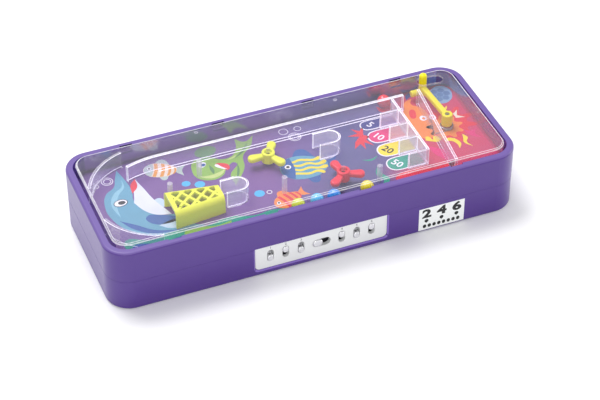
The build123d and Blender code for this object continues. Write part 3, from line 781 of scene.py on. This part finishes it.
def fish(name, x, y, turn, size, body, stripe, fin, tall=1.0, lengthwise=False):
    """A striped fish, its nose towards its own -X."""
    def half(at, share=1.0):
        return body_half(at) * tall * share

    def part(points):
        return placed(points, x, y, turn, size)

    outline = [(at, half(at)) for at in (-1, -0.7, -0.3, 0.15, 0.6, 0.95)]
    outline += [(at, -half(at)) for at in (0.6, 0.15, -0.3, -0.7)]
    tail = [(0.86, 0.0), (1.42, 0.5, 1), (1.26, 0.04), (1.4, -0.46, 1)]
    top_fin = [(-0.45, half(-0.45, 0.8), 1), (0.0, tall), (0.6, half(0.6, 0.8), 1)]
    low_fin = [(-0.1, -half(-0.1, 0.8), 1), (0.3, -0.9 * tall), (0.55, -half(0.55, 0.8), 1)]
    face = [
        (-0.5, half(-0.5, 0.98), 1), (-0.72, half(-0.72, 0.98)), (-0.97, 0.0), (-0.72, -half(-0.72, 0.98)),
        (-0.5, -half(-0.5, 0.98), 1), (-0.4, 0.0),
    ]
    bands = lengthwise_bands(tall) if lengthwise else crosswise_bands(half)
    eye_x, eye_y = placed([(-0.66, 0.12)], x, y, turn, size)[0]
    return picture(name, "lid", "print", [
        (fin, 0, part(tail)),
        (fin, 0, part(top_fin)),
        (fin, 0, part(low_fin)),
        (body, 1, part(outline)),
        *[(stripe, 2, part(band)) for band in bands],
        (fin, 3, part(face)),
        (white_ink, 4, oval(eye_x, eye_y, size * 0.13)),
        (black_ink, 5, oval(eye_x, eye_y, size * 0.07)),
    ])


fish("print_fish_orange", -65, 25.5, -22, 9.2, cream_ink, amber_ink, fin_grey, tall=1.0)
fish("print_fish_blue", 7.5, -0.6, -10, 13.4, sea_blue, yellow_ink, deep_blue, tall=1.16, lengthwise=True)
fish("print_fish_red", -10.5, -22.5, 18, 8.5, orange_ink, coral_red, orange_ink, tall=1.0)

# %% [markdown]
# The green fish is larger and looks back over its tail, so it has its own outline.

# %% Green fish
green_body = [
    (-49.5, 19), (-46, 26), (-38, 26.5), (-31, 22), (-26, 22.5), (-21.5, 27), (-19, 36, 1), (-15, 32),
    (-8.5, 35.5, 1), (-13, 27), (-19.5, 21), (-22.5, 11), (-32, -1, 1), (-31.5, 8), (-25.5, 17),
    (-31, 14.5), (-35.5, 9), (-42, 7.5), (-48.5, 11.5),
]
picture("print_fish_green", "lid", "print", [
    (leaf_green, 0, green_body),
    (dark_green, 0, oval(-37.5, 31.5, 6.2, 4.4, 10)),
    (dark_green, 1, [(-25, 20, 1), (-19, 25), (-13.5, 31, 1), (-17, 25)]),
    (dark_green, 1, [(-24.5, 17, 1), (-26, 9), (-30.5, 2, 1), (-27, 10)]),
    (coral_red, 1, [(-36.5, 19), (-31.5, 18.5), (-29.5, 15.5), (-31.5, 12.5), (-34, 15)]),
    (white_ink, 2, [(-36.3, 19.2), (-33.5, 16), (-31.3, 13, 1), (-34, 14.5)]),
    (white_ink, 1, oval(-43, 21.5, 2.6, 2.0, 30)),
    (deep_blue, 2, oval(-42.4, 21.2, 1.3, 1.1)),
    (pale_green, 1, [(-48, 12.6, 1), (-42, 9), (-36, 10), (-32, 14, 1), (-36.5, 12.4), (-42, 11.6)]),
    (dark_green, 1, [(-47, 24.6, 1), (-40, 26.4), (-33.4, 23.4, 1), (-39.5, 25)]),
    (dark_green, 1, [(-39.4, 20, 1), (-38.2, 15.5), (-39.6, 11.5, 1), (-40.2, 16)]),
    (pale_green, 1, [(-29.5, 20.6, 1), (-25, 20.8), (-22.4, 23, 1), (-25.8, 21.8)]),
])

# %% [markdown]
# Bubbles: plain sky-blue spots, and white rings. A ring is one patch with a hole in it.

# %% Bubbles
rings = []
for x, y, radius, width in (
    (8, 32, 2.7, 0.45), (16.2, 31.8, 2.1, 0.4), (12.2, 25.6, 3.6, 0.45), (12.2, 25.6, 2.6, 0.4),
    (-17.5, -13, 1.5, 0.4), (-94.3, 27, 3.2, 0.4), (-94.3, 27, 2.1, 0.35), (-101, 25, 1.6, 0.3),
):
    rings.append((white_ink, 0, oval(x, y, radius), oval(x, y, radius - width)))
for x, y, radius in ((-56, 9.8, 2.2), (-49.4, 6.6, 2.6), (-22.8, -12.2, 2.6)):
    rings.append((sky_ink, 0, oval(x, y, radius * 1.08, radius)))
picture("print_bubbles", "lid", "print", rings)

# %% [markdown]
# Scoring lanes. Each pocket has a coloured tongue with a white outline that reaches out into the
# field, and its points in plain numbers. The tongues fit between the pockets' dividers. A tongue is
# the same above and below its middle, so only its upper half is written down.

# %% Scoring lanes
lane_edges = (25.0, 15.1, 2.6, -10.0, -22.6)
lane_start, lane_end, outline_width, points_x = 48.6, 68.8, 0.75, 54.6
tongue_inks = (indigo_ink, rose_ink, yellow_ink, teal_ink)
lanes = []
for number, (tongue, points) in enumerate(zip(tongue_inks, ("5", "10", "20", "50"))):
    high, low = lane_edges[number] - outline_width, lane_edges[number + 1] + outline_width
    middle, half = (high + low) / 2, (high - low) / 2
    for material, layer, inset in ((white_ink, 0, 0.0), (tongue, 1, outline_width)):
        reach, side = lane_start + inset, half - inset
        upper = [(reach + side * 0.35, side * 0.78), (reach + side, side), (60, side), (lane_end, side, 1)]
        lower = [(x, -y, *corner) for x, y, *corner in reversed(upper)]
        lanes.append((material, layer, placed([(reach, 0)] + upper + lower, 0, middle)))
    count = lettering(points, 4.6, weight=0.12)
    spot = Matrix.Translation((points_x * MM, middle * MM, 0))
    count.transform(spot @ Matrix.Rotation(math.radians(-60), 4, "Z"))
    lanes.append((white_ink if tongue != yellow_ink else black_ink, 2, count))
picture("print_scoring_lanes", "lid", "print", lanes)

# %% [markdown]
# Coral, a wavy weed and the sea bed fill the front and the middle. The coral is one branching
# outline, cornered at every point, because coral is stiff and twiggy.

# %% Coral, weed and sea bed
coral_branches = [
    (50.5, 21, 1), (47, 17, 1), (43, 20.5, 1), (45, 15.5, 1), (39, 15, 1), (45, 12.5, 1), (41, 9, 1),
    (38.5, 3.5, 1), (43, 6.5, 1), (44, 1, 1), (45.5, 7, 1), (49.5, 2.5, 1), (47.2, 9, 1), (51, 10.5, 1),
    (47.5, 13, 1),
]
weed = [
    (42.5, -36, 1), (40, -31), (42.5, -26), (40.5, -21), (44, -14, 1), (43.8, -21), (45.8, -26), (43.6, -31),
    (46, -36, 1),
]
red_bank = [(50, -26), (60, -24), (74, -27), (84, -25, 1), (84, -38.4, 1), (47, -38.4, 1), (48, -31)]
bed_crest = [
    (-100, -22), (-88, -26), (-74, -24), (-58, -26.5), (-44, -24), (-32, -27.5), (-20, -27), (-4, -33, 1),
]
bed_foot = [(-4, -38.4, 1), (-98, -38.4, 1)]
bed_shade = [
    (-98, -28), (-84, -30), (-66, -28.5), (-40, -30), (-10, -33, 1), (-10, -38.4, 1), (-97, -38.4, 1),
]
picture("print_coral", "lid", "print", [
    (coral_red, 0, coral_branches),
    (coral_red, 0, [(76, 30), (72, 34), (68, 31), (64, 34, 1), (65, 28), (71, 27)]),
    (coral_red, 0, red_bank),
    (teal_ink, 1, weed),
    (teal_ink, 0, [(38, -6.5, 1), (43, -7.6), (48, -6, 1), (43, -9)]),
])
picture("print_sea_bed", "lid", "print", [
    (teal_ink, 0, bed_crest + bed_foot),
    (deep_blue, 1, bed_shade),
    (leaf_green, 2, [(-70, -27.5), (-62, -26), (-52, -28), (-44, -27, 1), (-46, -31), (-68, -31, 1)]),
])

# %% [markdown]
# A crab sits under the lever. Its body is a rounded star: a radius that swings in and out gives
# the legs, so one loop draws every outline, and an inset copy in orange makes the middle. Short
# yellow, cream, rose and orange strokes are its claws and joints, and the eyes are two rings.

# %% Crab


def star(x, y, inner, outer, points, turn=0):
    """A rounded star outline."""
    outline = []
    for step in range(points * 2):
        radius = outer if step % 2 == 0 else inner
        angle = math.radians(turn + step * 180 / points)
        outline.append((x + radius * math.cos(angle), y + radius * math.sin(angle)))
    return outline


shell_lump = [(75, 21), (80, 27), (86, 25), (88, 16), (86, 6), (81, -3), (76, -1), (74.5, 9)]
yellow_claw = [(86, -9, 1), (89, -6.5), (92.5, -8, 1), (94, -13), (91.5, -17, 1), (91.5, -12), (89, -9)]
picture("print_crab", "lid", "print", [
    (coral_red, 0, star(94, 5, 11.5, 17.0, 11, 12)),
    (orange_ink, 1, star(92, 3, 7.5, 10.5, 9)),
    (orange_ink, 1, shell_lump),
    (yellow_ink, 2, [(77, -4, 1), (79, -1), (81, -5, 1), (83, -2), (85.5, -6, 1), (83, -7.5), (80, -6)]),
    (yellow_ink, 2, [(98, -6, 1), (99.5, -10), (97.5, -13), (99, -18, 1), (95.8, -13), (97, -9.5)]),
    (yellow_ink, 1, [(101, 20, 1), (97.5, 18.5), (94, 21.5, 1), (95.5, 17), (99, 16.8)]),
    (cream_ink, 2, [(101, 12, 1), (104.5, 14.5, 1), (102.5, 10, 1), (106, 7, 1), (101, 8, 1)]),
    (yellow_ink, 2, yellow_claw),
    (rose_ink, 1, [(100, -2, 1), (103, -5), (108, -4, 1), (105, -8), (107, -13, 1), (102, -9)]),
    (rose_ink, 0, [(76, -9, 1), (80, -12), (86, -20), (84, -27), (79, -31, 1), (80.5, -24), (77, -17)]),
    (orange_ink, 2, [(77.5, 24, 1), (80, 31), (85.5, 33, 1), (83, 29), (84.5, 25.5, 1)]),
    (coral_red, 2, [(79, 16), (82, 19.5), (81.5, 24), (78.5, 21)]),
    (indigo_ink, 0, [(82, 33, 1), (88, 35.5), (94, 33, 1), (92, 37), (84, 37.5)]),
    (white_ink, 2, oval(84, 14.5, 1.9, 2.3), oval(84.2, 14.2, 0.9, 1.1)),
    (white_ink, 2, oval(89.2, 13.4, 1.9, 2.3), oval(89.2, 13.2, 0.9, 1.1)),
])

# %% [markdown]
# A shell of hexagon plates lies at the back right. The plates stand on a hexagon grid with a gap
# between them, so the pale patch beneath shows as the lines.

# %% Turtle shell
shell_x, shell_y, column_step, row_step, plate_radius = 102.3, 30.5, 4.0, 3.5, 2.15
plates = [(shell_line, 0, oval(shell_x, shell_y, 6.3, 8.2, -20))]
for row in range(-1, 2):
    for column in range(-1, 2):
        x = shell_x + column * column_step + (row % 2) * column_step / 2 - 0.6
        y = shell_y + row * row_step
        if abs(x - shell_x) + abs(y - shell_y) < 6.5:
            hexagon = [
                (math.cos(math.radians(angle)), math.sin(math.radians(angle)), 1)
                for angle in range(30, 390, 60)
            ]
            plates.append((shell_blue, 1, placed(hexagon, x, y, size=plate_radius)))
picture("print_turtle_shell", "lid", "print", plates)

# %% [markdown]
# Four small details follow: two moulded ones, and the divider's foot strip and the cover's welt,
# which carry a painted highlight. Each is a small four-cornered profile drawn out along a line, so
# one function makes them all. It takes a row of points for each corner of the profile and joins
# neighbouring rows with faces. A closed line runs round; an open one gets a cap at each end.

# %% Moulded details


def sweep(sheet, rows, closed):
    """Joins rows of points, in millimetres, into the skin of one solid."""
    rows = [[sheet.verts.new([value * MM for value in point]) for point in row] for row in rows]
    count = len(rows[0])
    for step in range(count if closed else count - 1):
        after = (step + 1) % count
        for nearer, farther in zip(rows, rows[1:] + rows[:1]):
            sheet.faces.new((nearer[step], nearer[after], farther[after], farther[step]))
    if not closed:
        sheet.faces.new([row[0] for row in rows])
        sheet.faces.new([row[-1] for row in reversed(rows)])


def detail(name, solids, material, body, slot, closed=True):
    """One piece from a list of solids, each given by its rows."""
    sheet = bmesh.new()
    for rows in solids:
        sweep(sheet, rows, closed)
    bmesh.ops.recalc_face_normals(sheet, faces=sheet.faces)
    mesh = bpy.data.meshes.new(name)
    sheet.to_mesh(mesh)
    sheet.free()
    mesh.materials.append(material)
    return add_piece(name, mesh, body, slot)


# %% [markdown]
# The clear walls are moulded with a thin welt where they stand on the card. It catches the light
# as a fine line. A strip with the same painted highlight, white and faintly glowing, runs along the
# front of the divider's foot and paints that line in.

# %% Divider foot
foot_start, foot_wide, foot_high, foot_gap = -66, 0.3, 0.25, 0.05
foot_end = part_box("lane_divider")[1].x / MM
divider_front = 25.0
foot_far = divider_front - foot_gap
foot_near = foot_far - foot_wide
foot_rows = [
    [(foot_start, y, z), (foot_end, y, z)]
    for y, z in ((foot_near, card_top), (foot_near, card_top + foot_high),
                 (foot_far, card_top + foot_high), (foot_far, card_top))
]
detail("divider_foot_highlight", [foot_rows], bright_edge_highlight, "lid", "clear", closed=False)
print("divider foot from", foot_start, "to", round(foot_end, 1))

# %% [markdown]
# Two small round marks on the cover's underside are where the mould's ejector pins pushed it out.
# Each is a shallow ring, turned like a washer: a square profile swept round a circle.

# %% Ejector marks
cover_thick, mark_deep, mark_inner, mark_outer = 1.2, 0.15, 0.55, 1.0
under_z = cover_top - cover_thick


def circle(x, y, z, radius, steps=20):
    """Points round a level circle."""
    turns = [step * math.tau / steps for step in range(steps)]
    return [(x + radius * math.cos(turn), y + radius * math.sin(turn), z) for turn in turns]


mark_solids = [
    [circle(x, y, z, radius) for radius, z in (
        (mark_inner, under_z), (mark_outer, under_z), (mark_outer, under_z - mark_deep),
        (mark_inner, under_z - mark_deep),
    )]
    for x, y in ((-40.6, 36.4), (39.9, 35.2))
]
detail("ejector_marks", mark_solids, clear_small, "lid", "clear")

# %% [markdown]
# The lid closes over a low lip on the base, so the seam shows as a faint line and not as a dark
# gap. The lip is a band just inside the case's outer face. Its outline is the case's rounded
# rectangle moved in, and it starts and ends at the sides of the lock's window.

# %% Seam lip
case_low, case_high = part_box("base_shell")
half_x, half_y = case_high.x / MM, -case_low.y / MM
corner, window_end = 13.5, 37.9
lip_recess, lip_thick, lip_low, lip_high = 0.06, 0.5, 17.9, 18.43


def case_outline(inset, steps=10):
    """The case's rounded outline moved in, from the front's right corner round to its left one."""
    radius = corner - inset
    outline = []
    for side_x, side_y, start in ((1, -1, -90), (1, 1, 0), (-1, 1, 90), (-1, -1, 180)):
        centre_x, centre_y = side_x * (half_x - corner), side_y * (half_y - corner)
        for step in range(steps + 1):
            angle = math.radians(start + 90 * step / steps)
            outline.append((centre_x + radius * math.cos(angle), centre_y + radius * math.sin(angle)))
    return outline


def lip_outline(inset):
    """The case's outline with its ends at the lock's window."""
    front = inset - half_y
    return [(window_end, front)] + case_outline(inset) + [(-window_end, front)]


def band(outline, inset, thick, low, high):
    """Rows for a band along an outline: the four corners of its profile."""
    corners = ((inset, low), (inset, high), (inset + thick, high), (inset + thick, low))
    return [[(x, y, z) for x, y in outline(depth)] for depth, z in corners]


lip = band(lip_outline, lip_recess, lip_thick, lip_low, lip_high)
detail("seam_lip", [lip], case_violet, "base", "case", closed=False)

# %% [markdown]
# A low welt runs round the cover's top, just inside its rounded edge, and shows as a thin bright
# line: its finish is the cover's painted edge highlight. The cover's sides lie as far inside the
# case's sides along X as along Y, and the round corners share their centres, so the welt is the
# case's outline moved in.

# %% Cover welt
welt_from_edge, welt_wide, welt_high = 2.1, 0.26, 0.1
cover_inset = half_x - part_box("clear_cover")[1].x / MM
welt = band(case_outline, cover_inset + welt_from_edge, welt_wide, cover_top, cover_top + welt_high)
detail("cover_welt", [welt], cover_edge_highlight, "lid", "clear")
print("the cover's side is", round(cover_inset, 2), "mm inside the case's")

# %% [markdown]
# The front label shows the code: three numbers, a pointer under each, and a plain row of dots
# below. The label's face looks to -Y, so its drawing plane is turned upright.

# %% Code label
digit_size, digit_weight, digit_stretch, digit_step, digit_up = 5.4, 0.34, 1.38, 8.8, 3.4
dot_count, dot_step, dot_down = 8, 2.8, -4.9
pointer = [(0, -2.7, 1), (-1.1, -1.5), (-0.8, -0.4), (0.8, -0.4), (1.1, -1.5)]
low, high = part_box("code_label")
label_x, label_z = (low.x + high.x) / 2, (low.z + high.z) / 2
on_label = Matrix.Translation((label_x, low.y, label_z)) @ Matrix.Rotation(math.radians(90), 4, "X")
marks = []
for text, x in (("2", -digit_step), ("4", 0), ("6", digit_step)):
    number = lettering(text, digit_size, weight=digit_weight)
    spot = Matrix.Translation((x * MM, digit_up * MM, 0))
    number.transform(spot @ Matrix.Diagonal((digit_stretch, 1.0, 1.0, 1.0)))
    marks.append((black_ink, 0, number))
    marks.append((black_ink, 0, placed(pointer, x, 0)))
for step in range(dot_count):
    x = (step - (dot_count - 1) / 2) * dot_step
    marks.append((black_ink, 0, oval(x, dot_down, 1.0, 1.2)))
picture("label_print", "base", "label", marks, to_surface=on_label)

# %% [markdown]
# Each slider has its number above it on the plate, in small grey figures.

# %% Lock numbers
figure_up, figure_size = 16.4, 1.5
plate_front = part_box("lock_plate")[0].y
on_plate = Matrix.Translation((0, plate_front, 0)) @ Matrix.Rotation(math.radians(90), 4, "X")
figures = []
for number in range(1, 7):
    low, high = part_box(f"code_slider_{number}")
    figure = lettering(str(number), figure_size, weight=0.03)
    figure.transform(Matrix.Translation(((low.x + high.x) / 2, figure_up * MM, 0)))
    figures.append((grey_ink, 0, figure))
picture("lock_numbers", "base", "lock_plate", figures, to_surface=on_plate)

# %% [markdown]
# Studio. A pale floor, an even white surrounding that the gloss can reflect, one broad soft lamp
# above and behind for the bright rim and the shadow towards the front, a weak one from the front
# left, and a small low one at the right that lights the case's right end. The colours are shown
# as they are, without a film curve.

# %% Floor and light
floor = Recipe("floor_white")
dust = floor.noise(60, 3.0)
floor_white = floor.finish(floor.principled(
    Base_Color=floor.mix(dust, colour(246, 246, 248), colour(252, 252, 252)), Roughness=0.45 + dust * 0.1
))
floor_mesh = bpy.data.meshes.new("floor")
floor_mesh.from_pydata([(-6, -6, 0), (6, -6, 0), (6, 6, 0), (-6, 6, 0)], [], [(0, 1, 2, 3)])
floor_mesh.materials.append(floor_white)
floor_piece = bpy.data.objects.new("floor", floor_mesh)
scene.collection.objects.link(floor_piece)
floor_piece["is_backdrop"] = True

world = bpy.data.worlds.new("studio")
world.use_nodes = True
world.node_tree.nodes["Background"].inputs["Color"].default_value = (1.0, 1.0, 1.0, 1.0)
world.node_tree.nodes["Background"].inputs["Strength"].default_value = 0.7
scene.world = world


def softbox(name, place, towards, width, height, watts):
    """A rectangular lamp that looks at a point."""
    data = bpy.data.lights.new(name, "AREA")
    data.shape = "RECTANGLE"
    data.size = width
    data.size_y = height
    data.energy = watts
    lamp = bpy.data.objects.new(name, data)
    lamp.location = place
    lamp.rotation_euler = (Vector(towards) - Vector(place)).to_track_quat("-Z", "Y").to_euler()
    scene.collection.objects.link(lamp)
    return lamp


softbox("key_above", (-0.2, 0.5, 1.2), (0, 0, 0), 0.7, 0.6, 12.5)
softbox("fill_front", (-0.7, -1.3, 0.7), (0, 0, 0.02), 0.9, 0.7, 4.6)
softbox("edge_right", (1.3, -0.15, 0.35), (0, 0, 0.02), 0.5, 0.5, 4.0)
scene.view_settings.view_transform = "Standard"

# %% [markdown]
# The camera is a long lens from above and left of the front, which keeps the case's long edges
# nearly parallel. Its place is given by a direction and a distance from a point near the middle.

# %% Camera
aim = Vector((-1.8, -17.0, 20.0)) * MM
azimuth, elevation, distance = math.radians(-21.89), math.radians(40.14), 1.0345
back = Vector((
    math.sin(azimuth) * math.cos(elevation), -math.cos(azimuth) * math.cos(elevation), math.sin(elevation)
))
camera_data = bpy.data.cameras.new("camera")
camera_data.lens = 117.15
camera_data.sensor_width = 36.0
camera = bpy.data.objects.new("camera", camera_data)
camera.location = aim + back * distance
camera.rotation_euler = (-back).to_track_quat("-Z", "Y").to_euler()
scene.collection.objects.link(camera)
scene.camera = camera
print("camera at", [round(value, 3) for value in camera.location])

# %% [markdown]
# The last cell shows the finished picture's box beside the CAD box and ends.

# %% Boxes and finish
visual_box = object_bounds()
boxes = {"cad": cad_box, "visual": visual_box}
{name: [list(corner) for corner in box] for name, box in boxes.items()}
print("visual box", [[round(value, 4) for value in corner] for corner in visual_box])
